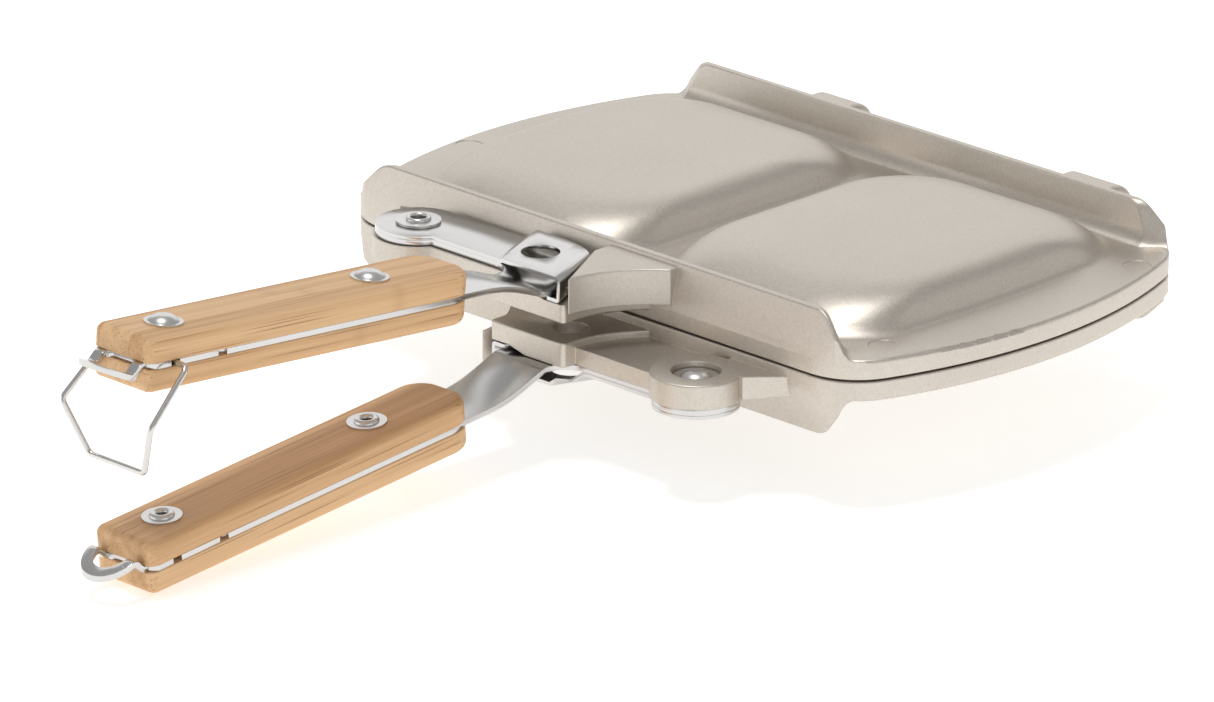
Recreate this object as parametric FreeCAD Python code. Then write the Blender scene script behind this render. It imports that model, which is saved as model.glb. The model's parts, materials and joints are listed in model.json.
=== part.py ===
import FreeCAD, Part
import math
import os

# Pie iron: two alike cast plates on a back hinge, each with a sheet steel handle that swings on a rivet.
# Lengths are millimetres, angles degrees. X runs along the hinge, Y from the handles to the hinge, Z up.
# Pieces are made for the upper iron with z zero where the plates meet. The lower iron is the same set
# turned half a turn about Y. At the end all is moved, so the origin is the middle of the lower front lip.

# Cast plate
plate_width = 243.0
plate_depth = 149.8
side_bow = 16.9
plate_corner_radius = 20.0
flange_height = 6.6
flange_edge_round = 1.3
parting_edge_round = 0.5
meeting_gap = 0.6

# Lips along the front and back of a plate
lip_height = 19.7
lip_top_width = 2.6
lip_crown_half = 94.4
lip_waist_half = 103.0
lip_foot_half = 111.0
lip_crown_radius = 6.2
lip_flare_radius = 7.0
lip_edge_round = 0.7
lip_setback = 3.7
lip_face_radius = 18.0
lip_sink = 0.5
lip_inner_draft = 1.4
lip_fillet_radius = 6.0
lip_foot_depth = 3.6

# Domes over the two pockets
dome_height = 17.7
dome_reach = 99.6
dome_half_depth = 66.0
dome_bow = 3.6
dome_corner_radius = 24.0
dome_side_run = 30.0
dome_front_run = 40.0
valley_half_width = 6.0
wall = 3.6
pocket_divider = 9.0
pocket_inner_run = 35.0
pocket_inner_steepness = 3.6
dome_root_depth = 2.6

# Heights above the flange, and how far the foot of a dome flares out at each
foot_flare = ((-0.6, 3.4), (0.0, 1.9), (0.35, 1.15), (0.9, 0.55), (1.8, 0.1))

# Levels at which a dome's outline is drawn, and how steeply each side of it climbs
root_level_shares = (0.0, 0.15, 0.3)
crown_level_shares = (
    0.42, 0.5, 0.58, 0.65, 0.71, 0.765, 0.81, 0.85, 0.885, 0.915, 0.94, 0.96, 0.975, 0.986, 0.994, 0.998)
side_steepness = 9.0
front_steepness = 3.8
corner_room_share = 0.8

# Front mount: boss, shelf, block and stop
pivot_offset = 58.9
pivot_reach = 14.9
boss_radius = 14.1
finger_gap = 6.4
mount_level = 10.8
shelf_underside = 5.4
shelf_reach = 22.1
root_depth = 2.5
block_half_width = 15.6
block_reach = 27.5
block_flare = 11.7
block_flare_shift = 7.2
block_corner_round = 1.6
block_lean_share = 0.36
casting_edge_round = 0.6
block_hole_radius = 5.4
block_hole_offset = 6.5
web_reach_x = 26.0
web_middle_x = 19.6
web_middle_reach = 3.4
web_start_reach = 9.6
web_end_top = 8.8
stop_height = 18.5
stop_underside = 7.3
stop_tip_x = 18.1
stop_tip_reach = 27.9
stop_heel_x = 5.4
stop_heel_reach = 4.0
stop_end_x = 34.0
stop_end_reach = 0.4
stop_curve_x = 24.0
stop_curve_reach = 11.4
recess_floor = 9.1
recess_depth = 9.4
recess_width = 17.6
recess_ramp = 7.0

# Ejector marks on the flange
mark_radius = 4.4
mark_depth = 0.15
mark_places = ((-114.6, -13.0), (107.6, 52.0), (101.2, -54.0))

# Back hinge
hinge_reach = 7.1
hinge_barrel_radius = 6.5
hinge_pin_radius = 2.5
hinge_running_gap = 0.06
hinge_crown = 16.6
hinge_crown_radius = 8.4
lug_edge_round = 0.8
lug_end_round = 3.0
inner_lug_start = 34.5
inner_lug_width = 18.5
outer_lug_width = 21.5
lug_gap = 0.5
pin_head_radius = 3.6
pin_head_height = 1.1

# Rivet that carries a handle
counterbore_radius = 7.7
counterbore_depth = 2.6
pivot_washer_radius = 7.0
pivot_washer_thickness = 0.8
pivot_shank_radius = 3.2
pivot_running_gap = 0.08
pivot_head_radius = 4.9
pivot_head_height = 1.7
pivot_ring_radius = 3.9
pivot_ring_height = 1.0
pivot_ring_bore = 2.4
pivot_bore_depth = 3.6
moving_gap = 0.12

# Sheet steel handle
strap_thickness = 1.8
mount_gap = 0.3
disc_radius = 13.3
arm_width = 19.5
strap_width = 21.0
arm_fillet_radius = 9.0
hook_room = 1.5
ramp_clearance = 0.2
ramp_run = 16.6
ramp_slope = 21.3
handle_slope = 5.05
ramp_bend_radius = 8.0
grip_bend_radius = 55.0
tang_half_width = 12.0
tang_inset = 1.0

# Lock plate over the arm
lock_thickness = 1.2
lock_line_angle = 112.5
lock_ramp_rise = 3.6
lock_ramp_run = 4.4
lock_plate_span = 26.6
lock_front_reach = 27.7
lock_back_cut = 6.0
lock_trim_share = 1 / 3
lock_bend_radius = 1.5
lock_hole_radius = 6.0
lock_corner_radius = 8.0
hook_wall_gap = 0.8
hook_depth = 6.1
toe_drop = 0.9
toe_length = 4.4
toe_width = 7.2
toe_bend_radius = 0.7

# Grips
grip_start = 13.8
grip_length = 133.7
grip_width = 24.6
scale_thickness = 7.3
grip_edge_radius = 2.6
grip_inner_edge_round = 0.5
grip_head_corner_radius = 9.0
grip_tail_corner_radius = 3.0
first_rivet_inset = 33.5
last_rivet_inset = 16.5
rivet_shank_radius = 2.4
rivet_fit = 0.04
grip_washer_thickness = 0.6
outer_washer_radius = 5.9
inner_washer_radius = 6.1
grip_head_radius = 4.8
grip_head_height = 1.8
tail_radius = 3.9
tail_height = 1.1
tail_bore = 1.5
tail_bore_depth = 2.8

# Wire bail and the ends of the handles
bail_setback = 10.7
wire_radius = 0.9
bail_notch_width = 3.3
bail_notch_depth = 6.0
bail_end_inset = 7.0
bail_shoulder = 16.9
bail_elbow_x = 18.8
bail_elbow_drop = 14.8
bail_elbow_forward = 16.7
bail_bar_half = 11.6
bail_bar_drop = 31.1
bail_bar_forward = 12.5
bail_bend_radius = 2.6
dent_setback = 29.5
dent_radius = 1.7
catch_half_width = 9.6
catch_band = 3.5
catch_bend_start = 1.6
catch_drop = 3.0
catch_drop_angle = 45.0
catch_tip_angle = 25.0
catch_bend_radius = 2.2

overrun = 1.0

front = -plate_depth / 2
back = plate_depth / 2
pivot_x = -pivot_offset
pivot_y = front - pivot_reach
hinge_y = back + hinge_reach
half_gap = meeting_gap / 2
ramp_y = pivot_y - disc_radius - ramp_clearance - ramp_bend_radius * math.tan(math.radians(ramp_slope) / 2)


def point(x, y, z):
    return FreeCAD.Vector(x, y, z)


def x_axis():
    return FreeCAD.Vector(1, 0, 0)


def y_axis():
    return FreeCAD.Vector(0, 1, 0)


def z_axis():
    return FreeCAD.Vector(0, 0, 1)


def box(x0, x1, y0, y1, z0, z1):
    return Part.makeBox(x1 - x0, y1 - y0, z1 - z0, point(x0, y0, z0))


def rod(radius, x, y, z0, z1):
    return Part.makeCylinder(radius, z1 - z0, point(x, y, z0), z_axis())


def loop_of(steps):
    """Wire through steps: a point is a corner, a pair of points is an arc by way of the first."""
    edges = []
    start = steps[0]
    here = start
    for step in list(steps[1:]) + [start]:
        if isinstance(step, tuple):
            edges.append(Part.Arc(here, step[0], step[1]).toShape())
            here = step[1]
        elif here.distanceToPoint(step) > 0:
            edges.append(Part.LineSegment(here, step).toShape())
            here = step
    return Part.Wire(edges)


def prism(steps, direction):
    return Part.Face(loop_of(steps)).extrude(direction)


def corner_arc(before, corner, after, radius):
    """Start, middle and end of the arc that rounds a corner."""
    d0 = (before - corner).normalize()
    d1 = (after - corner).normalize()
    half_angle = d0.getAngle(d1) / 2
    run = radius / math.tan(half_angle)
    inward = (d0 + d1).normalize()
    middle = corner + inward * (radius / math.sin(half_angle) - radius)
    return corner + d0 * run, middle, corner + d1 * run


def rounded(corners):
    """Steps of a loop from pairs of a corner and its radius; a radius of zero keeps it sharp."""
    steps = []
    count = len(corners)
    for k, (corner, radius) in enumerate(corners):
        if radius:
            first, middle, last = corner_arc(corners[k - 1][0], corner, corners[(k + 1) % count][0], radius)
            steps += [first, (middle, last)]
        else:
            steps.append(corner)
    return steps


def softened(solid, radius, chosen):
    """Rounds the edges that a test on their box picks."""
    return solid.makeFillet(radius, [edge for edge in solid.Edges if chosen(edge.BoundBox)])


def bowed_outline(z, x_in, x_out, half_depth, bow, radius):
    """Outline with a straight inner side, a bowed outer side and round corners, at height z."""
    bow_radius = (half_depth ** 2 + bow ** 2) / (2 * bow)
    centre_x = x_out - bow_radius
    corner_y = half_depth - radius
    corner_x = centre_x + math.sqrt((bow_radius - radius) ** 2 - corner_y ** 2)
    lean = math.atan2(corner_y, corner_x - centre_x)
    side = point(corner_x + radius * math.cos(lean), corner_y + radius * math.sin(lean), z)
    middle_angle = (lean + math.pi / 2) / 2
    middle = point(corner_x + radius * math.cos(middle_angle), corner_y + radius * math.sin(middle_angle), z)
    top = point(corner_x, half_depth, z)
    half_root = radius * math.sqrt(0.5)
    inner_middle = point(x_in + radius - half_root, corner_y + half_root, z)
    inner_top = point(x_in + radius, half_depth, z)
    inner_side = point(x_in, corner_y, z)

    def below(p):
        return point(p.x, -p.y, p.z)

    return loop_of([
        below(side), (point(x_out, 0, z), side), (middle, top), inner_top, (inner_middle, inner_side),
        below(inner_side), (below(inner_middle), below(inner_top)), below(top), (below(middle), below(side)),
    ])


def plate_outline(z, inset):
    """Outline of a plate, drawn in by an inset: both sides bowed, front and back straight, corners round."""
    bow_radius = (back ** 2 + side_bow ** 2) / (2 * side_bow)
    reach = plate_width / 2 - inset
    centre_x = plate_width / 2 - bow_radius
    corner_y = back - plate_corner_radius
    corner_x = centre_x + math.sqrt((bow_radius - plate_corner_radius) ** 2 - corner_y ** 2)
    lean = math.atan2(corner_y, corner_x - centre_x)
    middle_angle = (lean + math.pi / 2) / 2
    radius = plate_corner_radius - inset

    def corner(angle, sx, sy):
        x = corner_x + radius * math.cos(angle)
        y = corner_y + radius * math.sin(angle)
        return point(sx * x, sy * y, z)

    return loop_of([
        corner(lean, 1, -1), (point(reach, 0, z), corner(lean, 1, 1)),
        (corner(middle_angle, 1, 1), corner(math.pi / 2, 1, 1)), corner(math.pi / 2, -1, 1),
        (corner(middle_angle, -1, 1), corner(lean, -1, 1)), (point(-reach, 0, z), corner(lean, -1, -1)),
        (corner(middle_angle, -1, -1), corner(math.pi / 2, -1, -1)), corner(math.pi / 2, 1, -1),
        (corner(middle_angle, 1, -1), corner(lean, 1, -1)),
    ])


def flange():
    slab = Part.Face(plate_outline(half_gap, 0)).extrude(point(0, 0, flange_height - half_gap))
    slab = softened(slab, flange_edge_round, lambda b: b.ZMin > flange_height - meeting_gap)
    return softened(slab, parting_edge_round, lambda b: b.ZMax < half_gap + meeting_gap)


def drawn_in(level, steepness):
    """Share of its run by which a side has drawn in at a level: steep at the foot, flat at the crown."""
    return 1 - (1 - level) ** (1 / steepness)


def pillow(base, rise, levels, x_in, x_out, half_depth, inner_run, inner_steepness, radius):
    """Pillow-shaped solid through outlines that draw in as they rise; each level has its own flare."""
    wires = []
    for level, flare in levels:
        low_x = x_in + drawn_in(level, inner_steepness) * inner_run - flare
        high_x = x_out - drawn_in(level, side_steepness) * dome_side_run + flare
        half = half_depth - drawn_in(level, front_steepness) * dome_front_run + flare
        bow = dome_bow * half / half_depth
        room = min(high_x - low_x, 2 * half) / 2
        corner = min(radius + flare, room * corner_room_share)
        wires.append(bowed_outline(base + level * rise, low_x, high_x, half, bow, corner))
    return Part.makeLoft(wires, True, True)


def dome():
    base = flange_height - dome_root_depth
    rise = dome_height - base
    levels = [((dome_root_depth + height) / rise, flare) for height, flare in foot_flare]
    levels += [(level, 0) for level in crown_level_shares]
    return pillow(
        base, rise, levels, valley_half_width, dome_reach, dome_half_depth,
        dome_side_run, side_steepness, dome_corner_radius)


def pocket():
    base = half_gap - overrun
    levels = [(level, 0) for level in root_level_shares + crown_level_shares]
    return pillow(
        base, dome_height - wall - base, levels, pocket_divider / 2, dome_reach - wall, dome_half_depth - wall,
        pocket_inner_run, pocket_inner_steepness, dome_corner_radius - wall)


def half_turn(shape):
    """The same thing on the other iron: half a turn about the Y axis."""
    turned = shape.copy()
    turned.rotate(point(0, 0, 0), y_axis(), 180)
    return turned


def quarter_turns(shape, times):
    turned = shape.copy()
    turned.rotate(point(0, 0, 0), z_axis(), 90 * times)
    return turned


def lip():
    """Back lip: an end-on profile with rounded shoulders and flared feet, cut to a drafted section.

    Its ends are skewed half a right angle, square to the plate's round corners.
    """
    foot = flange_height - lip_foot_depth
    sunk = flange_height - lip_sink
    outer_top = back - lip_setback
    inner_top = outer_top - lip_top_width
    inner_low = inner_top - lip_inner_draft
    root = inner_low - 2 * lip_fillet_radius
    depth = back - root
    elevation = prism(rounded([
        (point(x + lip_setback, back, z), radius) for x, z, radius in (
            (-depth, foot, 0), (lip_foot_half, foot, 0), (lip_foot_half, sunk, 0),
            (lip_waist_half, sunk, lip_flare_radius), (lip_crown_half, lip_height, lip_crown_radius),
            (-depth, lip_height, 0))
    ]), point(-depth, -depth, 0))
    elevation = elevation.fuse(elevation.mirror(point(0, 0, 0), x_axis()))
    section = prism(rounded([
        (point(0, back, foot), 0), (point(0, back, flange_height), lip_face_radius),
        (point(0, outer_top, lip_height), 0), (point(0, inner_top, lip_height), 0),
        (point(0, inner_low, sunk), lip_fillet_radius), (point(0, root, sunk), 0),
        (point(0, root, foot), 0),
    ]), point(2 * lip_foot_half, 0, 0))
    section.translate(point(-lip_foot_half, 0, 0))
    footprint = Part.Face(plate_outline(0, 0)).extrude(point(0, 0, lip_height + overrun))
    raw = elevation.common(section).common(footprint).removeSplitter()
    return softened(raw, lip_edge_round, lambda b: b.ZMin > lip_height - overrun and b.XLength > lip_height)


def front_mount():
    """Boss for the rivet, shelf, middle block with its webs, and the stop that the handle rests on."""
    inner = finger_gap / 2
    root = front + root_depth
    boss = rod(boss_radius, pivot_x, pivot_y, inner, mount_level)
    boss = softened(boss, casting_edge_round, lambda b: b.ZMax < inner + overrun)
    neck = box(pivot_x - boss_radius / 2, pivot_x + boss_radius, pivot_y, root, shelf_underside, mount_level)
    shelf = box(pivot_x, -block_half_width, front - shelf_reach, root, shelf_underside, mount_level)
    face_y = front - block_reach
    flare_x = block_half_width + block_flare
    lean_x = block_half_width + block_flare * block_lean_share
    lean_y = front - block_flare_shift
    side = block_half_width
    cut = block_corner_round
    turn = cut * (1 - math.sqrt(0.5))
    block = prism([
        point(-flare_x, root, inner), (point(-lean_x, lean_y, inner), point(-side, face_y + cut, inner)),
        (point(-side + turn, face_y + turn, inner), point(-side + cut, face_y, inner)),
        point(side - cut, face_y, inner), (point(side - turn, face_y + turn, inner), point(side, face_y + cut, inner)),
        (point(lean_x, lean_y, inner), point(flare_x, root, inner)),
    ], point(0, 0, mount_level - inner))
    block = softened(block, casting_edge_round, lambda b: b.ZMax < inner + overrun and b.YMin < root - overrun)
    web = prism([
        point(pivot_x, root, inner), point(pivot_x, front - web_start_reach, inner),
        point(pivot_x - boss_radius, front - web_start_reach, inner),
        (point(pivot_x - web_middle_x, front - web_middle_reach, inner), point(pivot_x - web_reach_x, root, inner)),
    ], point(0, 0, mount_level - inner))
    web_end = pivot_x - web_reach_x - overrun
    web = web.common(prism([
        point(pivot_x, root, inner), point(web_end, root, inner), point(web_end, root, web_end_top),
        (point(pivot_x - web_middle_x, root, (web_end_top + mount_level) / 2),
         point(pivot_x - boss_radius / 2, root, mount_level)),
        point(pivot_x, root, mount_level),
    ], point(0, -web_start_reach - root_depth, 0)))
    solid = boss.fuse([neck, shelf, block, web])
    solid = solid.cut(hook_recess())
    solid = solid.fuse(stop_block())
    hole = rod(block_hole_radius, -block_hole_offset, pivot_y, inner - overrun, mount_level + overrun)
    counterbore = rod(counterbore_radius, pivot_x, pivot_y, inner - overrun, inner + counterbore_depth)
    shank = rod(pivot_shank_radius, pivot_x, pivot_y, inner, mount_level + overrun)
    return solid.cut([hole, counterbore, shank])


def stop_block():
    root = front + lip_setback + lip_top_width / 2
    z = stop_underside
    stop = prism([
        point(stop_heel_x, root, z), point(stop_heel_x, front - stop_heel_reach, z),
        point(stop_tip_x, front - stop_tip_reach, z),
        (point(stop_curve_x, front - stop_curve_reach, z), point(stop_end_x, front - stop_end_reach, z)),
        point(stop_end_x, root, z),
    ], point(0, 0, stop_height - z))
    return softened(stop, casting_edge_round, lambda b: b.ZMin > stop_height - overrun)


def hook_recess():
    """Pocket in the block under the hook's toe, with a ramp to it, open to the front and to the outside."""
    y = front - block_reach - overrun
    x0 = stop_tip_x - recess_width
    x1 = stop_tip_x + overrun
    top = mount_level + overrun
    return prism([
        point(x0, y, mount_level), point(x0 + recess_ramp, y, recess_floor), point(x1, y, recess_floor),
        point(x1, y, top), point(x0, y, top),
    ], point(0, recess_depth + overrun, 0))


def hinge_lug(x0, x1):
    """Tall lug behind the back lip, round the hinge axis below and crowned above. Its end at x1 is rounder."""
    root = back - lip_setback - lip_top_width / 2
    low = half_gap
    r = hinge_barrel_radius
    crown = corner_arc(
        point(x0, root, hinge_crown), point(x0, hinge_y + r, hinge_crown), point(x0, hinge_y + r, 0),
        hinge_crown_radius)
    lug = prism([
        point(x0, root, low), point(x0, root, hinge_crown), crown[0], crown[1:],
        point(x0, hinge_y + r, 0), (point(x0, hinge_y, -r), point(x0, hinge_y - r, 0)),
        point(x0, hinge_y - r, low),
    ], point(x1 - x0, 0, 0))
    lug = softened(lug, lug_edge_round, lambda b: b.XLength < lug_gap and abs(b.XMin - x0) < lug_gap)
    return softened(lug, lug_end_round, lambda b: b.XLength < lug_gap and abs(b.XMin - x1) < lug_gap)


def hinge_spans():
    """X spans of the two lugs of the upper iron: the inner one on the left, the outer one on the right."""
    inner_end = inner_lug_start + inner_lug_width
    outer_start = inner_end + lug_gap
    return (-inner_end, -inner_lug_start), (outer_start, outer_start + outer_lug_width)


def hinge_bore(x0, x1):
    radius = hinge_pin_radius + hinge_running_gap
    return Part.makeCylinder(radius, x1 - x0 + 2 * overrun, point(x0 - overrun, hinge_y, 0), x_axis())


def casting():
    body = flange()
    right_dome = dome()
    left_dome = quarter_turns(right_dome, 2)
    back_lip = lip()
    front_lip = quarter_turns(back_lip, 2)
    lugs = [hinge_lug(x0, x1) for x0, x1 in hinge_spans()]
    body = body.fuse([right_dome, left_dome, back_lip, front_lip, front_mount()] + lugs)
    right_pocket = pocket()
    cuts = [right_pocket, quarter_turns(right_pocket, 2)]
    cuts += [hinge_bore(x0, x1) for x0, x1 in hinge_spans()]
    cuts += [rod(mark_radius, x, y, flange_height - mark_depth, flange_height + overrun) for x, y in mark_places]
    return body.cut(cuts).removeSplitter()


def hinge_pin():
    """Pin through the pair of lugs on the left, with a low head at each end."""
    x0 = -(inner_lug_start + inner_lug_width + lug_gap + outer_lug_width)
    x1 = -inner_lug_start
    shank = Part.makeCylinder(hinge_pin_radius, x1 - x0, point(x0, hinge_y, 0), x_axis())
    heads = []
    for x, way in ((x0, -1), (x1, 1)):
        head = Part.makeCone(
            pin_head_radius, hinge_pin_radius, pin_head_height, point(x, hinge_y, 0), x_axis() * way)
        heads.append(head)
    return shank.fuse(heads).removeSplitter()


def bent_strip(path, bends, thickness, make, direction):
    """Sheet bent along a path. Points are pairs in a plane that make turns into space points."""
    count = len(path)
    half = thickness / 2
    units = []
    for (a0, b0), (a1, b1) in zip(path, path[1:]):
        length = math.hypot(a1 - a0, b1 - b0)
        units.append(((a1 - a0) / length, (b1 - b0) / length))

    def offset(pair, unit, distance):
        return (pair[0] - unit[1] * distance, pair[1] + unit[0] * distance)

    def side(distance):
        steps = [make(*offset(path[0], units[0], distance))]
        for k in range(1, count - 1):
            before = units[k - 1]
            after = units[k]
            turn = math.atan2(before[0] * after[1] - before[1] * after[0], before[0] * after[0] + before[1] * after[1])
            run = bends[k - 1] * math.tan(abs(turn) / 2)
            first = (path[k][0] - before[0] * run, path[k][1] - before[1] * run)
            last = (path[k][0] + after[0] * run, path[k][1] + after[1] * run)
            way = math.copysign(1, turn)
            centre = offset(first, before, bends[k - 1] * way)
            radius = bends[k - 1] - distance * way
            to_corner = (path[k][0] - centre[0], path[k][1] - centre[1])
            reach = math.hypot(*to_corner)
            middle = (centre[0] + to_corner[0] * radius / reach, centre[1] + to_corner[1] * radius / reach)
            steps.append(make(*offset(first, before, distance)))
            steps.append((make(*middle), make(*offset(last, after, distance))))
        steps.append(make(*offset(path[-1], units[-1], distance)))
        return steps

    up = side(half)
    down = side(-half)
    edges = []
    for steps in (up, down):
        here = steps[0]
        for step in steps[1:]:
            if isinstance(step, tuple):
                edges.append(Part.Arc(here, step[0], step[1]).toShape())
                here = step[1]
            else:
                edges.append(Part.LineSegment(here, step).toShape())
                here = step
    ends = [Part.LineSegment(up[0], down[0]).toShape(), Part.LineSegment(up[-1], down[-1]).toShape()]
    outline = Part.Wire(Part.__sortEdges__(edges + ends))
    return Part.Face(outline).extrude(direction)


def strap_middle():
    return mount_level + mount_gap + strap_thickness / 2


def handle_origin():
    """Where the ramp meets the slope of the grip, in Y and Z."""
    y = ramp_y - ramp_run
    return y, strap_middle() + ramp_run * math.tan(math.radians(ramp_slope))


def on_handle(shape):
    """Carry a piece made flat, with -Y along the grip and z zero in the steel, to the sloped grip."""
    y, z = handle_origin()
    moved = shape.copy()
    moved.rotate(point(0, 0, 0), x_axis(), -handle_slope)
    moved.translate(point(0, y, z))
    return moved


def slope_place(along, height):
    """Y and Z of a place on the grip's slope."""
    y, z = handle_origin()
    lean = math.radians(handle_slope)
    return (y - along * math.cos(lean) + height * math.sin(lean), z + along * math.sin(lean) + height * math.cos(lean))


def lock_line(x, y):
    """Distance of a plan point across the lock plate's fold lines."""
    lean = math.radians(lock_line_angle)
    return x * math.sin(lean) - y * math.cos(lean)


def hook_face():
    """Fold-line distance of the hook's outer face, just clear of the stop's heel."""
    return lock_line(stop_heel_x, front - stop_heel_reach) - hook_wall_gap


def beyond_line(distance):
    """Half space, as a big block, past a fold-line distance on the stop's side."""
    size = plate_width
    block = Part.makeBox(size, 2 * size, size, point(distance, -size, -size / 2))
    block.rotate(point(0, 0, 0), z_axis(), lock_line_angle - 90)
    return block


def arm_plan(z0, z1):
    """Disc round the rivet and the arm beside it."""
    disc = rod(disc_radius, pivot_x, pivot_y, z0, z1)
    arm_back = pivot_y + disc_radius
    arm = box(pivot_x, strap_width / 2, arm_back - arm_width, arm_back, z0, z1)
    return disc.fuse(arm)


def strap_outline(z0, z1):
    """Plan of the strap as an upright prism: arm, inner fillet and column to the end of the grip."""
    half = strap_width / 2
    arm_front = pivot_y + disc_radius - arm_width
    r = arm_fillet_radius
    corner = box(-half - r, -half, arm_front - r, arm_front, z0, z1).cut(
        rod(r, -half - r, arm_front - r, z0 - overrun, z1 + overrun))
    start_y = slope_place(grip_start + tang_inset, 0)[0]
    end_y = slope_place(grip_start + grip_length - tang_inset, 0)[0]
    column = box(-half, half, start_y - grip_head_corner_radius, pivot_y + disc_radius, z0, z1)
    tang = box(-tang_half_width, tang_half_width, end_y, start_y, z0, z1)
    tang = rounded_ends(tang, start_y, end_y)
    catch = catch_plan(end_y, z0, z1)
    whole = arm_plan(z0, z1).fuse([corner, column, tang, catch])
    hook_side = beyond_line(hook_face() - lock_thickness - hook_room)
    past_hook = front - lock_front_reach - hook_room
    keep_front = box(-plate_width, plate_width, -2 * plate_width, past_hook, z0 - overrun, z1 + overrun)
    return whole.cut(hook_side.cut(keep_front))


def rounded_ends(bar, head_y, tail_y):
    """Rounds a grip's or tang's upright edges at its two ends."""
    for radius, y in ((grip_head_corner_radius, head_y), (grip_tail_corner_radius, tail_y)):
        bar = softened(bar, radius, lambda b: b.YLength < overrun and b.XLength < overrun and abs(b.YMin - y) < overrun)
    return bar


def catch_run():
    """How far the catch's legs reach past the tang before the half ring begins."""
    return catch_bend_start + catch_drop / math.tan(math.radians(catch_drop_angle))


def catch_plan(end_y, z0, z1):
    """Half ring at the end of the strap, on two legs."""
    w = catch_half_width
    inner = w - catch_band
    y = end_y - catch_run()
    outer = box(-w, w, y, end_y + overrun, z0, z1).fuse(rod(w, 0, y, z0, z1))
    hole = box(-inner, inner, y, end_y - tang_inset, z0 - overrun, z1 + overrun)
    return outer.cut([hole, rod(inner, 0, y, z0 - overrun, z1 + overrun)])


def strap():
    """One sheet steel strap from the rivet to the catch, whose half ring stands in towards the other handle."""
    middle = strap_middle()
    origin_y, origin_z = handle_origin()
    end_along = grip_start + grip_length - tang_inset
    bend_y, bend_z = slope_place(end_along + catch_bend_start, 0)
    ring_y = bend_y - catch_drop / math.tan(math.radians(catch_drop_angle))
    tip = catch_half_width + overrun
    path = [
        (pivot_y + disc_radius + overrun, middle), (ramp_y, middle), (origin_y, origin_z), (bend_y, bend_z),
        (ring_y, bend_z - catch_drop),
        (ring_y - tip, bend_z - catch_drop + tip * math.tan(math.radians(catch_tip_angle))),
    ]
    bends = [ramp_bend_radius, grip_bend_radius, catch_bend_radius, catch_bend_radius]
    half = tang_half_width - pivot_x + disc_radius + overrun
    strip = bent_strip(path, bends, strap_thickness, lambda a, b: point(-half, a, b), point(2 * half, 0, 0))
    sheet = strip.common(strap_outline(-plate_depth, plate_depth))
    above = above_all()
    cuts = [rod(pivot_shank_radius + pivot_running_gap, pivot_x, pivot_y, 0, above)]
    cuts.append(rod(block_hole_radius, -block_hole_offset, pivot_y, 0, above))
    through = strap_thickness
    for along in rivet_places():
        cuts.append(on_handle(rod(rivet_shank_radius + rivet_fit, 0, -along, -through, through)))
    notch_y = -(grip_start + grip_length - bail_setback)
    half_notch = bail_notch_width / 2
    dent_y = -(grip_start + grip_length - dent_setback)
    for side in (-1, 1):
        edge = side * tang_half_width
        reach = edge - side * bail_notch_depth
        low, high = sorted((reach, edge + side * overrun))
        cuts.append(on_handle(box(low, high, notch_y - half_notch, notch_y + half_notch, -through, through)))
        cuts.append(on_handle(rod(dent_radius, edge, dent_y, -through, through)))
    return sheet.cut(cuts).removeSplitter()


def above_all():
    """A height above everything on the arm, for cuts that go right through."""
    return lip_height + stop_height


def lock_plate():
    """Spring plate on the arm: it climbs to a raised tongue whose far edge hooks down round the strap."""
    low = mount_level + mount_gap + strap_thickness + lock_thickness / 2
    high = low + lock_ramp_rise
    face = hook_face() - lock_thickness / 2
    rise_end = face - lock_plate_span + lock_ramp_run
    rise_start = rise_end - lock_ramp_run
    far = lock_line(pivot_x - disc_radius, pivot_y - disc_radius) - overrun
    lean = math.radians(lock_line_angle)
    along = point(math.cos(lean), math.sin(lean), 0)
    across = point(math.sin(lean), -math.cos(lean), 0)
    reach = plate_width

    def place(a, b):
        return across * a - along * reach + point(0, 0, b)

    path = [(far, low), (rise_start, low), (rise_end, high), (face, high), (face, high - hook_depth)]
    bends = [lock_bend_radius] * 3
    strip = bent_strip(path, bends, lock_thickness, place, along * (2 * reach))
    above = above_all()
    sheet = strip.common(lock_outline(0, above))
    toe_z = high - hook_depth - toe_drop
    toe_path = [(face, high - hook_depth + overrun), (face, toe_z), (face - toe_length, toe_z)]
    toe = bent_strip(toe_path, [toe_bend_radius], lock_thickness, place, along * (2 * reach))
    lock_front = front - lock_front_reach
    toe = toe.common(box(-plate_width, plate_width, lock_front, lock_front + toe_width, 0, above))
    hole = rod(lock_hole_radius, -block_hole_offset, pivot_y, 0, above)
    shank = rod(pivot_shank_radius + pivot_running_gap, pivot_x, pivot_y, 0, above)
    return sheet.fuse(toe).cut([hole, shank]).removeSplitter()


def lock_outline(z0, z1):
    """Plan of the lock plate: the arm, then a tongue that reaches forward to the block's face."""
    arm_back = pivot_y + disc_radius
    tongue_front = front - lock_front_reach
    left = -strap_width / 2 - lock_ramp_run / 2
    right = stop_tip_x
    tongue = box(left, right, tongue_front, arm_back, z0, z1)
    heel_x = stop_heel_x
    r = lock_corner_radius
    cut_y = arm_back - lock_back_cut
    trim = prism([
        point(heel_x - 2 * r, arm_back, z0),
        (point(heel_x - r / 2, arm_back - lock_back_cut * lock_trim_share, z0), point(heel_x + r, cut_y - r / 2, z0)),
        point(right + overrun, cut_y, z0), point(right + overrun, arm_back + overrun, z0),
        point(heel_x - 2 * r, arm_back + overrun, z0),
    ], point(0, 0, z1 - z0))
    return arm_plan(z0, z1).fuse(tongue).cut(trim)


def revolved(steps, x, y):
    """Solid of revolution about an upright axis; steps are radius and height."""
    outline = loop_of([
        (point(*middle), point(*end)) if middle else point(*end)
        for middle, end in steps])
    solid = Part.Face(outline).revolve(point(0, 0, 0), z_axis(), 360)
    solid.translate(point(x, y, 0))
    return solid


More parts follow.
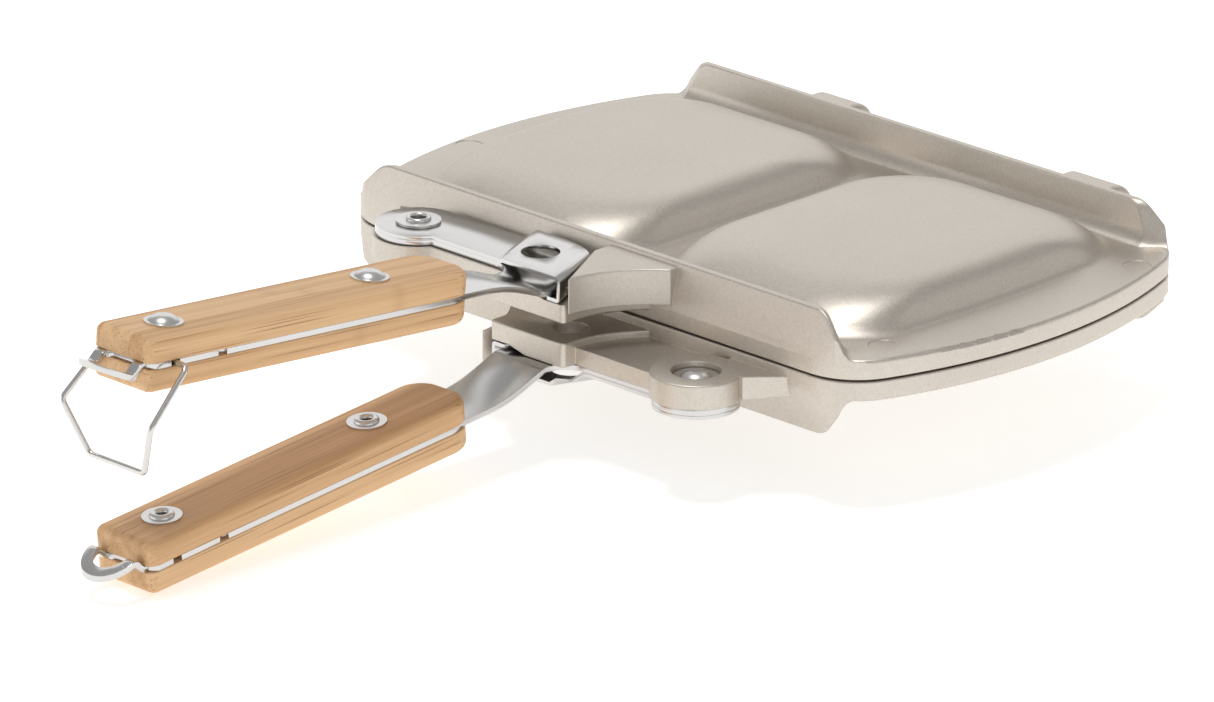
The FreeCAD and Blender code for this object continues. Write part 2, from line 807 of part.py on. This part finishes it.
def domed_rivet(x, y, seat, radius, height, shank_radius, tail_seat, ring_radius, ring_height, bore, bore_depth, up):
    """Tubular rivet: a domed head on one side, a rolled ring with a hollow on the other."""
    way = 1 if up else -1
    top = seat + way * height
    low = tail_seat - way * ring_height
    mid_r = radius * math.sqrt(0.5)
    dome_z = seat + way * height * math.sqrt(0.5)
    roll = (ring_radius - bore) / 2
    steps = [
        (None, (0, 0, top)),
        ((mid_r, 0, dome_z), (radius, 0, seat)),
        (None, (shank_radius, 0, seat)),
        (None, (shank_radius, 0, tail_seat)),
        (None, (ring_radius, 0, tail_seat)),
        ((ring_radius - roll, 0, low), (bore, 0, tail_seat)),
        (None, (bore, 0, tail_seat + way * bore_depth)),
        (None, (0, 0, tail_seat + way * bore_depth)),
    ]
    return revolved(steps, x, y)


def washer(x, y, outer, inner, z0, z1):
    ring = rod(outer, x, y, z0, z1)
    return ring.cut(rod(inner, x, y, z0 - overrun, z1 + overrun))


def pivot_levels():
    """Heights of the seats of the handle's rivet, from the inner head to the outer ring."""
    floor = finger_gap / 2 + counterbore_depth
    head_seat = floor - pivot_washer_thickness
    stack_top = mount_level + mount_gap + strap_thickness + lock_thickness
    washer_low = stack_top + moving_gap
    return floor, head_seat, washer_low, washer_low + pivot_washer_thickness


def pivot_rivet():
    floor, head_seat, washer_low, ring_seat = pivot_levels()
    return domed_rivet(
        pivot_x, pivot_y, head_seat, pivot_head_radius, pivot_head_height, pivot_shank_radius, ring_seat,
        pivot_ring_radius, pivot_ring_height, pivot_ring_bore, pivot_bore_depth, False)


def pivot_inner_washer():
    floor, head_seat, washer_low, ring_seat = pivot_levels()
    return washer(pivot_x, pivot_y, pivot_washer_radius, pivot_shank_radius, head_seat, floor)


def pivot_outer_washer():
    floor, head_seat, washer_low, ring_seat = pivot_levels()
    return washer(pivot_x, pivot_y, pivot_washer_radius, pivot_shank_radius, washer_low, ring_seat)


def rivet_places():
    return [grip_start + first_rivet_inset, grip_start + grip_length - last_rivet_inset]


def grip_scale(outer):
    """One wooden scale with rounded edges, bored for its two rivets."""
    low = strap_thickness / 2
    half = grip_width / 2
    blank = box(-half, half, -(grip_start + grip_length), -grip_start, low, low + scale_thickness)
    blank = rounded_ends(blank, -grip_start, -(grip_start + grip_length))
    blank = softened(blank, grip_edge_radius, lambda b: b.ZMin > low + scale_thickness / 2)
    blank = softened(blank, grip_inner_edge_round, lambda b: b.ZMax < low + grip_inner_edge_round)
    bores = [rod(rivet_shank_radius + rivet_fit, 0, -along, 0, 2 * scale_thickness) for along in rivet_places()]
    scale = blank.cut(bores)
    if not outer:
        scale = scale.mirror(point(0, 0, 0), z_axis())
    return on_handle(scale)


def grip_face():
    return strap_thickness / 2 + scale_thickness


def grip_washers(outer):
    radius = outer_washer_radius if outer else inner_washer_radius
    face = grip_face()
    rings = []
    for along in rivet_places():
        ring = washer(0, -along, radius, rivet_shank_radius + rivet_fit, face, face + grip_washer_thickness)
        if not outer:
            ring = ring.mirror(point(0, 0, 0), z_axis())
        rings.append(on_handle(ring))
    return Part.Compound(rings)


def grip_rivets():
    seat = grip_face() + grip_washer_thickness
    rivets = []
    for along in rivet_places():
        rivet = domed_rivet(
            0, -along, seat, grip_head_radius, grip_head_height, rivet_shank_radius, -seat, tail_radius,
            tail_height, tail_bore, tail_bore_depth, True)
        rivets.append(on_handle(rivet))
    return Part.Compound(rivets)


def rounded_path(points, radius):
    """Straight runs joined by arcs that touch them."""
    edges = []
    here = points[0]
    for before, corner, after in zip(points, points[1:], points[2:]):
        first, middle, last = corner_arc(before, corner, after, radius)
        edges.append(Part.LineSegment(here, first).toShape())
        edges.append(Part.Arc(first, middle, last).toShape())
        here = last
    edges.append(Part.LineSegment(here, points[-1]).toShape())
    return Part.Wire(edges)


def wire_bail():
    """Bent wire that turns in the notches of the upper strap and drops over the lower catch."""
    y, z = slope_place(grip_start + grip_length - bail_setback, 0)
    half = [
        (bail_end_inset, 0, 0), (bail_shoulder, 0, 0),
        (bail_elbow_x, bail_elbow_forward, bail_elbow_drop), (bail_bar_half, bail_bar_forward, bail_bar_drop),
    ]
    right = [point(x, y - forward, z - drop) for x, forward, drop in half]
    left = [point(-p.x, p.y, p.z) for p in reversed(right)]
    path = rounded_path(right + left, bail_bend_radius)
    circle = Part.Circle(right[0], x_axis(), wire_radius)
    section = Part.Wire([circle.toShape()])
    return path.makePipeShell([section], True, True)


def grounded(shape):
    lifted = shape.copy()
    lifted.translate(point(0, back - lip_setback - lip_top_width / 2, lip_height))
    return lifted


def save(name, shape):
    solids = [solid for solid in shape.Solids]
    print(name, len(solids), [round(solid.Volume, 1) for solid in solids], shape.isValid())
    result = solids[0] if len(solids) == 1 else Part.Compound(solids)
    grounded(result).exportStep("parts/" + name + ".step")


def main():
    os.makedirs("parts", exist_ok=True)
    iron = casting()
    pin = hinge_pin()
    save("upper_iron", iron)
    save("lower_iron", half_turn(iron))
    save("left_hinge_pin", pin)
    save("right_hinge_pin", half_turn(pin))
    handle_pieces = {
        "handle_strap": strap(),
        "lock_plate": lock_plate(),
        "pivot_rivet": pivot_rivet(),
        "pivot_inner_washer": pivot_inner_washer(),
        "pivot_outer_washer": pivot_outer_washer(),
        "outer_grip_scale": grip_scale(True),
        "inner_grip_scale": grip_scale(False),
        "grip_rivets": grip_rivets(),
        "outer_grip_washers": grip_washers(True),
        "inner_grip_washers": grip_washers(False),
    }
    for name, shape in handle_pieces.items():
        save("upper_" + name, shape)
        save("lower_" + name, half_turn(shape))
    save("wire_bail", wire_bail())


main()
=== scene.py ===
import json
import math
import bpy
from mathutils import Matrix, Vector

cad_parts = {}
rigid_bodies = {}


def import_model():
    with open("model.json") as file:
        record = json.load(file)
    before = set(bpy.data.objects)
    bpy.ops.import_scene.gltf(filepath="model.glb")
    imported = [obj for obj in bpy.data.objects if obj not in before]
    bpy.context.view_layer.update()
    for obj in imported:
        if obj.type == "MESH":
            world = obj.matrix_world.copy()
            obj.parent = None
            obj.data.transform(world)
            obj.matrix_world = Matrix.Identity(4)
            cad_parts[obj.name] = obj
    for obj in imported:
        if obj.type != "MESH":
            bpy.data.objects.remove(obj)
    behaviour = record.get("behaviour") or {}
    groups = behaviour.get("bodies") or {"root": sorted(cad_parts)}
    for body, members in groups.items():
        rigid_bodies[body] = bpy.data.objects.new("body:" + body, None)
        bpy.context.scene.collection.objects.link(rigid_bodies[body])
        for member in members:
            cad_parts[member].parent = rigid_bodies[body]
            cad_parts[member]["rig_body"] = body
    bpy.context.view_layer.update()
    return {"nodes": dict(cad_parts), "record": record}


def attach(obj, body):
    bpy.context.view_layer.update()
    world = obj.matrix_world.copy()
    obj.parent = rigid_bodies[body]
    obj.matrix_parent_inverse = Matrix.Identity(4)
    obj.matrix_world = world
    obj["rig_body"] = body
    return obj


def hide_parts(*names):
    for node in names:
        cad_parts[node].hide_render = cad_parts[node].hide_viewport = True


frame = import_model()
nodes = frame["nodes"]
slots = {part["node"]: part["material_slot"] for part in frame["record"]["subparts"]}
print("frame loaded,", len(nodes), "nodes")

# middle of the castings: halfway along a plate, where the two plates meet
mm = 0.001
castingMiddle = Vector((0, 69.9 * mm, 19.7 * mm))


# camera, where the picture was taken from; angles in degrees
cameraSettings = {
    "azimuth": 44.4396,
    "elevation": 20.1724,
    "roll": 0.2832,
    "distance": 3216.9827 * mm,
    "aimRight": 47.5167 * mm,
    "aimUp": 33.5233 * mm,
    "focalPixels": 10478.518,
    "pictureWidth": 1214,
    "sensor": 36,
    "farthest": 100,
}


def makeCamera(s):
    azimuth, elevation, roll = (math.radians(s[k]) for k in ("azimuth", "elevation", "roll"))
    back = Vector((
        math.sin(azimuth) * math.cos(elevation),
        -math.cos(azimuth) * math.cos(elevation),
        math.sin(elevation)))
    level = Vector((math.cos(azimuth), math.sin(azimuth), 0))
    rise = back.cross(level)
    right = level * math.cos(roll) + rise * math.sin(roll)
    up = rise * math.cos(roll) - level * math.sin(roll)
    place = castingMiddle - right * s["aimRight"] - up * s["aimUp"] + back * s["distance"]
    data = bpy.data.cameras.new("pictureCamera")
    data.sensor_fit = "HORIZONTAL"
    data.sensor_width = s["sensor"]
    data.lens = s["focalPixels"] * s["sensor"] / s["pictureWidth"]
    data.clip_end = s["farthest"]
    camera = bpy.data.objects.new("pictureCamera", data)
    bpy.context.scene.collection.objects.link(camera)
    camera.matrix_world = Matrix((
        (right.x, up.x, back.x, place.x),
        (right.y, up.y, back.y, place.y),
        (right.z, up.z, back.z, place.z),
        (0, 0, 0, 1)))
    bpy.context.scene.camera = camera


makeCamera(cameraSettings)
print("camera placed")


# shader maths: a signal is one socket, and an expression on signals adds its nodes
class Signal:
    def __init__(self, finish, socket):
        self.finish = finish
        self.socket = socket

    def maths(self, operation, first, second=0.0):
        return self.finish.add("ShaderNodeMath", {"operation": operation}, {0: first, 1: second})

    def __add__(self, other):
        return self.maths("ADD", self, other)

    def __radd__(self, other):
        return self.maths("ADD", other, self)

    def __sub__(self, other):
        return self.maths("SUBTRACT", self, other)

    def __rsub__(self, other):
        return self.maths("SUBTRACT", other, self)

    def __mul__(self, other):
        return self.maths("MULTIPLY", self, other)

    def __rmul__(self, other):
        return self.maths("MULTIPLY", other, self)

    def __truediv__(self, other):
        return self.maths("DIVIDE", self, other)

    def __rtruediv__(self, other):
        return self.maths("DIVIDE", other, self)

    def __abs__(self):
        return self.maths("ABSOLUTE", self)

    def whole(self):
        return self.maths("FLOOR", self)


# a finish is one material, built node by node
class Finish:
    def __init__(self, name):
        self.material = bpy.data.materials.new(name)
        self.material.use_nodes = True
        self.tree = self.material.node_tree
        self.tree.nodes.clear()

    def add(self, kind, settings=None, sockets=None, out=0):
        node = self.tree.nodes.new(kind)
        for key, value in (settings or {}).items():
            setattr(node, key, value)
        for key, value in (sockets or {}).items():
            if isinstance(value, Signal):
                self.tree.links.new(value.socket, node.inputs[key])
            elif node.inputs[key].type == "RGBA":
                node.inputs[key].default_value = (*value, 1)
            else:
                node.inputs[key].default_value = value
        return Signal(self, node.outputs[out]) if node.outputs else None

    def spot(self, turn=(0, 0, 0), stretch=(1, 1, 1), shift=(0, 0, 0)):
        coordinates = self.add("ShaderNodeTexCoord", out="Object")
        return self.add("ShaderNodeMapping", {}, {
            "Vector": coordinates, "Location": shift, "Rotation": turn, "Scale": stretch})

    def stretched(self, where, stretch):
        return self.add("ShaderNodeMapping", {}, {"Vector": where, "Scale": stretch})

    # grain holds the scale, the number of finer layers and their strength
    def noise(self, where, grain):
        scale, layers, rough = grain
        return self.add("ShaderNodeTexNoise", {}, {
            "Vector": where, "Scale": scale, "Detail": layers, "Roughness": rough})

    # the first shade up to where span starts, the second from where it ends
    def ramp(self, amount, span, shades=(0, 1)):
        node = self.tree.nodes.new("ShaderNodeValToRGB")
        for element, place, shade in zip(node.color_ramp.elements, span, shades):
            element.position = place
            element.color = (shade, shade, shade, 1)
        self.tree.links.new(amount.socket, node.inputs["Fac"])
        return Signal(self, node.outputs["Color"])

    # sockets 6 and 7 are the mix node's two colours, and output 2 is their mix
    def mix(self, amount, first, second):
        sockets = {0: amount, 6: first, 7: second}
        return self.add("ShaderNodeMix", {"data_type": "RGBA"}, sockets, out=2)

    def surface(self, sockets):
        shader = self.add("ShaderNodeBsdfPrincipled", {}, sockets)
        self.add("ShaderNodeOutputMaterial", {}, {"Surface": shader})
        return self.material

    def bump(self, height, distance):
        return self.add("ShaderNodeBump", {}, {"Height": height, "Distance": distance})

    # the same on a face whose sharp edges catch the light as if rounded
    def roundedBump(self, height, distance, edge, samples):
        rounded = self.add("ShaderNodeBevel", {"samples": samples}, {"Radius": edge})
        return self.add("ShaderNodeBump", {}, {
            "Height": height, "Distance": distance, "Normal": rounded})

    def axes(self, where):
        split = self.tree.nodes.new("ShaderNodeSeparateXYZ")
        self.tree.links.new(where.socket, split.inputs[0])
        return [Signal(self, socket) for socket in split.outputs]


# bead-blasted casting: warm grey, sparkling in fine grains
castingLook = {
    "dark": (0.50, 0.455, 0.402),
    "light": (0.69, 0.637, 0.567),
    "grain": (1900, 3, 0.7),
    "speck": (760, 2, 0.6),
    "cloud": (16, 3, 0.5),
    "grainShare": 0.55,
    "speckShare": 0.25,
    "cloudShare": 0.2,
    "toneSpan": (0.3, 0.7),
    "metal": 0.92,
    "roughness": 0.38,
    "roughnessSpread": 0.12,
    "pit": 0.04 * mm,
    "speckPit": 0.6,
    "edge": 0.5 * mm,
    "edgeSamples": 6,
}


def blastedCasting(s):
    finish = Finish("blastedCasting")
    where = finish.spot()
    grain = finish.noise(where, s["grain"])
    speck = finish.noise(where, s["speck"])
    cloud = finish.noise(where, s["cloud"])
    tone = grain * s["grainShare"] + speck * s["speckShare"] + cloud * s["cloudShare"]
    pits = grain + speck * s["speckPit"]
    return finish.surface({
        "Base Color": finish.mix(finish.ramp(tone, s["toneSpan"]), s["dark"], s["light"]),
        "Metallic": s["metal"],
        "Roughness": s["roughness"] + s["roughnessSpread"] * speck,
        "Normal": finish.roundedBump(pits, s["pit"], s["edge"], s["edgeSamples"]),
    })


# dark coat inside the pockets
coatLook = {
    "base": (0.022, 0.022, 0.023),
    "fleck": (0.06, 0.058, 0.056),
    "fleckGrain": (2600, 1, 0.5),
    "fleckSpan": (0.6, 0.72),
    "peel": (900, 2, 0.5),
    "peelHeight": 0.04 * mm,
    "roughness": 0.34,
    "roughnessSpread": 0.14,
}


def pocketCoat(s):
    finish = Finish("pocketCoat")
    where = finish.spot()
    peel = finish.noise(where, s["peel"])
    fleck = finish.ramp(finish.noise(where, s["fleckGrain"]), s["fleckSpan"])
    return finish.surface({
        "Base Color": finish.mix(fleck, s["base"], s["fleck"]),
        "Roughness": s["roughness"] + s["roughnessSpread"] * peel,
        "Normal": finish.bump(peel, s["peelHeight"]),
    })


# polished sheet, drawn wire and bright rivets share one maker and its fine lines
lineLook = {
    "line": (1900, 3, 0.6),
    "cloud": (60, 2, 0.5),
    "roughnessSpread": 0.05,
}
steelLooks = {
    "sheet_steel": {
        "light": (0.64, 0.632, 0.622), "dark": (0.57, 0.562, 0.552), "roughness": 0.17,
        "stretch": (1, 0.02, 1), "scratch": 0.003 * mm},
    "wire_steel": {
        "light": (0.68, 0.665, 0.645), "dark": (0.58, 0.565, 0.545), "roughness": 0.20,
        "stretch": (1, 0.3, 1), "scratch": 0.006 * mm},
    "polished_steel": {
        "light": (0.70, 0.692, 0.68), "dark": (0.62, 0.612, 0.6), "roughness": 0.26,
        "stretch": (1, 1, 1), "scratch": 0.002 * mm},
}


def polishedSteel(name, s, shared):
    finish = Finish(name)
    lines = finish.noise(finish.spot(stretch=s["stretch"]), shared["line"])
    cloud = finish.noise(finish.spot(), shared["cloud"])
    spread = shared["roughnessSpread"]
    return finish.surface({
        "Base Color": finish.mix(lines, s["dark"], s["light"]),
        "Metallic": 1.0,
        "Roughness": s["roughness"] + spread * lines + spread * cloud,
        "Normal": finish.bump(lines, s["scratch"]),
    })


# laminated bamboo, strips side by side along the grip; the fibres follow its slope
bambooLook = {
    "light": (0.76, 0.49, 0.262),
    "middle": (0.58, 0.33, 0.148),
    "dark": (0.30, 0.13, 0.05),
    "slope": 5.05,
    "stretch": (1, 0.014, 1),
    "shiftStep": (1 * mm, 7 * mm, 3 * mm),
    "fibre": (2100, 3, 0.6),
    "streak": (336, 3, 0.5),
    "bundle": 900,
    "stripShare": 0.16,
    "streakShare": 0.54,
    "fibreShare": 0.3,
    "toneSpan": (0.36, 0.62),
    "coreSpan": (0.14, 0.3),
    "coreLeast": 0.3,
    "coreSpread": 0.6,
    "strip": 6.1 * mm,
    "seamSpan": (0.47, 0.5),
    "seamDepth": 0.16,
    "knotFrom": 20 * mm,
    "knotSpread": 110 * mm,
    "knotWidth": 4 * mm,
    "knotDepth": 0.14,
    "roughness": 0.48,
    "roughnessSpread": 0.16,
    "fibreHeight": 0.03 * mm,
    "corePit": 0.3,
}


def bambooGrip(name, side, shift, s):
    finish = Finish(name)
    turn = (math.radians(s["slope"]) * side, 0, 0)
    where = finish.spot(turn=turn, shift=tuple(shift * step for step in s["shiftStep"]))
    along = finish.stretched(where, s["stretch"])
    x, y = finish.axes(where)[:2]
    strip = (x / s["strip"]).whole()
    fromMiddle = abs(x / s["strip"] - strip - 0.5)
    shade = finish.add(
        "ShaderNodeTexWhiteNoise", {"noise_dimensions": "1D"}, {"W": strip + shift})
    fibre = finish.noise(along, s["fibre"])
    streak = finish.noise(along, s["streak"])
    bundle = finish.add("ShaderNodeTexVoronoi", {}, {"Vector": along, "Scale": s["bundle"]})
    tone = shade * s["stripShare"] + streak * s["streakShare"] + fibre * s["fibreShare"]
    core = finish.ramp(bundle, s["coreSpan"], (1, 0))
    seam = finish.ramp(fromMiddle, s["seamSpan"])
    fromKnot = abs(y + shade * s["knotSpread"] + s["knotFrom"]) / s["knotWidth"]
    knot = finish.ramp(fromKnot, (0, 1), (1, 0))
    colour = finish.mix(finish.ramp(tone, s["toneSpan"]), s["middle"], s["light"])
    for amount in (
            core * (s["coreLeast"] + s["coreSpread"] * streak),
            seam * s["seamDepth"],
            knot * s["knotDepth"]):
        colour = finish.mix(amount, colour, s["dark"])
    return finish.surface({
        "Base Color": colour,
        "Roughness": s["roughness"] + s["roughnessSpread"] * fibre,
        "Normal": finish.bump(fibre - core * s["corePit"], s["fibreHeight"]),
    })


cast = blastedCasting(castingLook)
coat = pocketCoat(coatLook)
steels = {name: polishedSteel(name, look, lineLook) for name, look in steelLooks.items()}
print("finishes mixed")


# every dressed piece starts as a copy of its CAD mesh; angles in degrees
meshSettings = {
    "weld": 0.002 * mm,
    "flat": 0.6,
    "corner": 40,
    "smooth": 32,
}


def selectOnly(piece):
    bpy.ops.object.select_all(action="DESELECT")
    piece.select_set(True)
    bpy.context.view_layer.objects.active = piece


def startEditing(piece):
    selectOnly(piece)
    bpy.ops.object.mode_set(mode="EDIT")
    bpy.ops.mesh.select_all(action="SELECT")


def copyOf(node, material, s=meshSettings):
    mesh = nodes[node].data.copy()
    mesh.materials.clear()
    mesh.materials.append(material)
    piece = bpy.data.objects.new(node + "_dressed", mesh)
    bpy.context.scene.collection.objects.link(piece)
    selectOnly(piece)
    if mesh.has_custom_normals:
        bpy.ops.mesh.customdata_custom_splitnormals_clear()
    startEditing(piece)
    bpy.ops.mesh.remove_doubles(threshold=s["weld"])
    bpy.ops.object.mode_set(mode="OBJECT")
    return piece


def softenEdges(piece, width, segments, s=meshSettings):
    startEditing(piece)
    bpy.ops.mesh.dissolve_limited(angle_limit=math.radians(s["flat"]))
    bpy.ops.object.mode_set(mode="OBJECT")
    bevel = piece.modifiers.new("edges", "BEVEL")
    bevel.width = width
    bevel.segments = segments
    bevel.limit_method = "ANGLE"
    bevel.angle_limit = math.radians(s["corner"])
    bevel.miter_outer = "MITER_ARC"
    bpy.ops.object.modifier_apply(modifier="edges")


def place(piece, node, s=meshSettings):
    selectOnly(piece)
    bpy.ops.object.shade_smooth_by_angle(angle=math.radians(s["smooth"]))
    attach(piece, nodes[node]["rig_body"])
    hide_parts(node)


# both castings, with the coat painted on the faces that look into a pocket
ironSettings = {
    "pocketX": 96.8 * mm,
    "pocketY": 63.2 * mm,
    "pocketTop": 14.25 * mm,
    "meeting": 0.36 * mm,
    "middleX": 50 * mm,
    "mostOutward": 0.02,
}


# the lower iron is the upper one after half a turn about Y, so side turns its faces back
def dressIron(node, side, s):
    iron = copyOf(node, cast)
    iron.data.materials.append(coat)
    turnBack = Matrix.Diagonal((side, 1, side))
    for face in iron.data.polygons:
        spot = turnBack @ (face.center - castingMiddle)
        out = turnBack @ face.normal
        middle = Vector((math.copysign(s["middleX"], spot.x), 0, 0))
        inside = (
            abs(spot.x) < s["pocketX"] and abs(spot.y) < s["pocketY"]
            and s["meeting"] < spot.z < s["pocketTop"])
        if inside and out.z < s["mostOutward"] and out.dot(middle - spot) > 0:
            face.material_index = 1
    place(iron, node)


dressIron("upper_iron", 1, ironSettings)
dressIron("lower_iron", -1, ironSettings)
print("irons dressed")


# sheet steel parts get their edges broken
sheetSettings = {
    "handle_strap": {"round": 0.16 * mm, "segments": 2},
    "lock_plate": {"round": 0.18 * mm, "segments": 2},
}

for side in ("upper_", "lower_"):
    for tail, s in sheetSettings.items():
        sheet = copyOf(side + tail, steels["sheet_steel"])
        softenEdges(sheet, s["round"], s["segments"])
        place(sheet, side + tail)
print("sheet steel dressed")


# grips: side is the way the handle slopes, shift makes each scale a different piece of bamboo
gripSettings = {
    "upper_outer_grip_scale": {"side": 1, "shift": 3},
    "upper_inner_grip_scale": {"side": 1, "shift": 8},
    "lower_outer_grip_scale": {"side": -1, "shift": 15},
    "lower_inner_grip_scale": {"side": -1, "shift": 23},
}
for node, s in gripSettings.items():
    place(copyOf(node, bambooGrip(node, s["side"], s["shift"], bambooLook)), node)
print("grips dressed")


# rivets, washers, pins and the bail keep their shapes
for node in nodes:
    if slots[node] in ("polished_steel", "wire_steel"):
        place(copyOf(node, steels[slots[node]]), node)
print("rivets, washers, pins and bail dressed")


# floor: level, just under the lower grip's rivets, below a folded handle and the opened iron
floorSettings = {
    "height": -21.3 * mm,
    "size": 12,
    "colour": (0.88, 0.88, 0.875),
    "shade": 0.98,
    "fibre": (220, 3, 0.6),
    "roughness": 0.9,
    "glow": 0.62,
}


def makeFloor(s):
    bpy.ops.object.select_all(action="DESELECT")
    bpy.ops.mesh.primitive_plane_add(size=s["size"])
    floor = bpy.context.object
    floor.name = "floor"
    for corner in floor.data.vertices:
        corner.co.z = s["height"]
    finish = Finish("paperFloor")
    fibres = finish.noise(finish.spot(), s["fibre"])
    shaded = tuple(part * s["shade"] for part in s["colour"])
    floor.data.materials.append(finish.surface({
        "Base Color": finish.mix(fibres, shaded, s["colour"]),
        "Roughness": s["roughness"],
        "Emission Color": s["colour"],
        "Emission Strength": s["glow"],
    }))


makeFloor(floorSettings)

# light: a dim room, a soft light overhead, panels behind and fills from the front
lightSettings = {
    "room": {"colour": (1, 1, 1, 1), "strength": 0.43},
    "sun": {"turn": (4, -5, 0), "strength": 1.15, "angle": 14},
    "panels": {
        "backLeft": {"from": (-1.55, 1.6, 1.05), "size": (3.2, 1.5), "power": 11},
        "backRight": {"from": (1.5, 1.6, 0.8), "size": (1.4, 0.8), "power": 1.6},
        "leftFill": {"from": (-1.5, -1.7, 0.42), "size": (2.4, 0.7), "power": 6},
        "rightFill": {"from": (1.9, -0.7, 0.5), "size": (1.8, 0.9), "power": 3.6},
    },
    "aim": (0, 0, 0),
}


def makeLight(s):
    world = bpy.data.worlds.new("whiteRoom")
    world.use_nodes = True
    sky = world.node_tree.nodes["Background"].inputs
    sky["Color"].default_value = s["room"]["colour"]
    sky["Strength"].default_value = s["room"]["strength"]
    bpy.context.scene.world = world
    sun = bpy.data.lights.new("overhead", "SUN")
    sun.energy = s["sun"]["strength"]
    sun.angle = math.radians(s["sun"]["angle"])
    holder = bpy.data.objects.new("overhead", sun)
    bpy.context.scene.collection.objects.link(holder)
    holder.rotation_euler = [math.radians(turn) for turn in s["sun"]["turn"]]
    for name, panelSettings in s["panels"].items():
        panel = bpy.data.lights.new(name, "AREA")
        panel.shape = "RECTANGLE"
        panel.size, panel.size_y = panelSettings["size"]
        panel.energy = panelSettings["power"]
        holder = bpy.data.objects.new(name, panel)
        bpy.context.scene.collection.objects.link(holder)
        holder.location = panelSettings["from"]
        aim = Vector(s["aim"]) - Vector(panelSettings["from"])
        holder.rotation_euler = aim.to_track_quat("-Z", "Y").to_euler()


makeLight(lightSettings)
bpy.context.scene.view_settings.view_transform = "Standard"
print("floor and light set")
